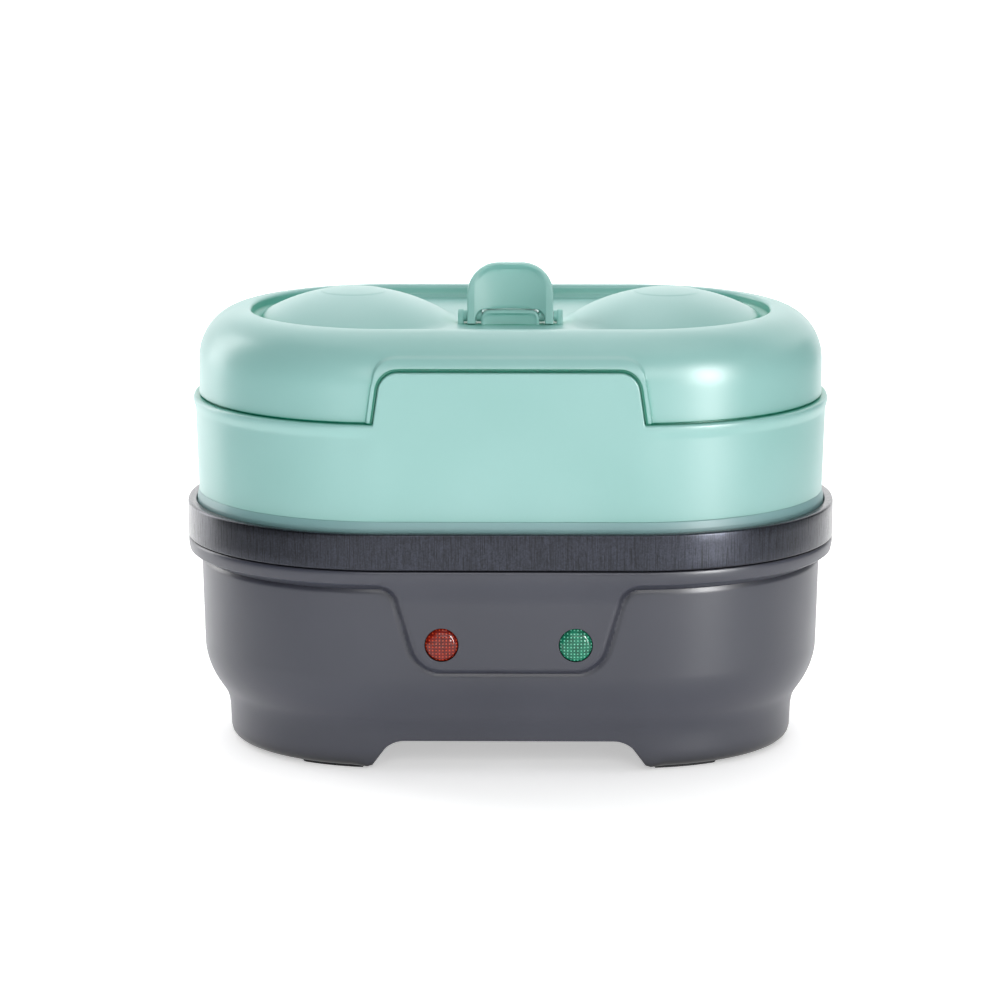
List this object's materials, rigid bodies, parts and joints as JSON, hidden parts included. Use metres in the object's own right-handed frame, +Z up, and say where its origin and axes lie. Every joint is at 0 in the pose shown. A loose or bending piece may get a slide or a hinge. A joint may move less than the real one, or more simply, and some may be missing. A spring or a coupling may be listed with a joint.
{
  "type": "egg bite maker",
  "caption": "Countertop egg bite steamer with a hinged domed lid, a flip-up handle, a lift-off steam collar holding an egg tray, and a heated base with a water pan and indicator lights.",
  "frame": {"origin": "middle of the counter space that the closed cooker takes up, at the level of the counter", "axes": "+X to the cooker's right side as seen from the front, +Y to its back and hinge, +Z up; the lights face -Y"},
  "size_m": [0.2076, 0.1448, 0.1549],
  "materials": {
    "mint_plastic": "moulded polypropylene, fine satin",
    "grey_plastic": "moulded ABS, satin",
    "black_plastic": "moulded, matte",
    "band_finish": "brushed, dark metallic lacquer",
    "nonstick_plate": "dark non-stick coating",
    "nonstick_tray": "dark non-stick coating",
    "bare_aluminium": "as cast",
    "heater_sheath": "heat-tinted steel sheath",
    "silicone": "red silicone",
    "rubber_foot": "soft rubber",
    "zinc_steel": "zinc-plated steel",
    "ceramic_white": "steatite",
    "thermostat_body": "phenolic",
    "fuse_brass": "plain",
    "red_lens": "clear red, prismatic back",
    "green_lens": "clear green, prismatic back",
    "lamp_glass": "neon lamp glass",
    "board_green": "laminate",
    "block_nylon": "nylon",
    "wire_brown": "silicone-sheathed wire",
    "wire_white": "silicone-sheathed wire",
    "wire_blue": "silicone-sheathed wire"
  },
  "bodies": {
    "base": {"base_housing": "grey_plastic", "bottom_cover": "black_plastic", "bottom_screws": "zinc_steel", "foot_pads": "rubber_foot", "rim_band": "band_finish", "plate_gasket": "silicone", "heating_plate": "nonstick_plate", "plate_studs": "zinc_steel", "plate_nuts": "zinc_steel", "heat_spreader": "bare_aluminium", "heating_element": "heater_sheath", "element_sleeves": "ceramic_white", "element_pins": "zinc_steel", "thermostat": "thermostat_body", "thermostat_clip": "zinc_steel", "thermal_fuse": "fuse_brass", "fuse_saddle": "zinc_steel", "clip_screws": "zinc_steel", "power_light_lens": "red_lens", "ready_light_lens": "green_lens", "power_lamp": "lamp_glass", "ready_lamp": "lamp_glass", "lamp_board": "board_green", "board_screws": "zinc_steel", "terminal_block": "block_nylon", "terminal_screws": "fuse_brass", "cord_gland": "black_plastic", "live_wire": "wire_brown", "fuse_wire": "wire_white", "heater_wire": "wire_white", "neutral_wire": "wire_blue", "lamp_wire": "wire_white"},
    "collar": {"steam_collar": "mint_plastic", "egg_tray": "nonstick_tray", "hinge_pin": "zinc_steel"},
    "lid": {"lid_shell": "mint_plastic", "handle_pin": "zinc_steel"},
    "handle": {"lid_handle": "mint_plastic"}
  },
  "joints": [
    {"name": "collar_lift", "type": "slide", "parent": "base", "child": "collar", "axis": [0, 0, 1], "range_m": [0, 0.06]},
    {"name": "lid_hinge", "type": "hinge", "parent": "collar", "child": "lid", "pos_m": [0, 0.0674, 0.1124], "axis": [-1, 0, 0], "range_deg": [0, 100]},
    {"name": "handle_flip", "type": "hinge", "parent": "lid", "child": "handle", "pos_m": [0, -0.0124, 0.1378], "axis": [-1, 0, 0], "range_deg": [0, 88]}
  ]
}
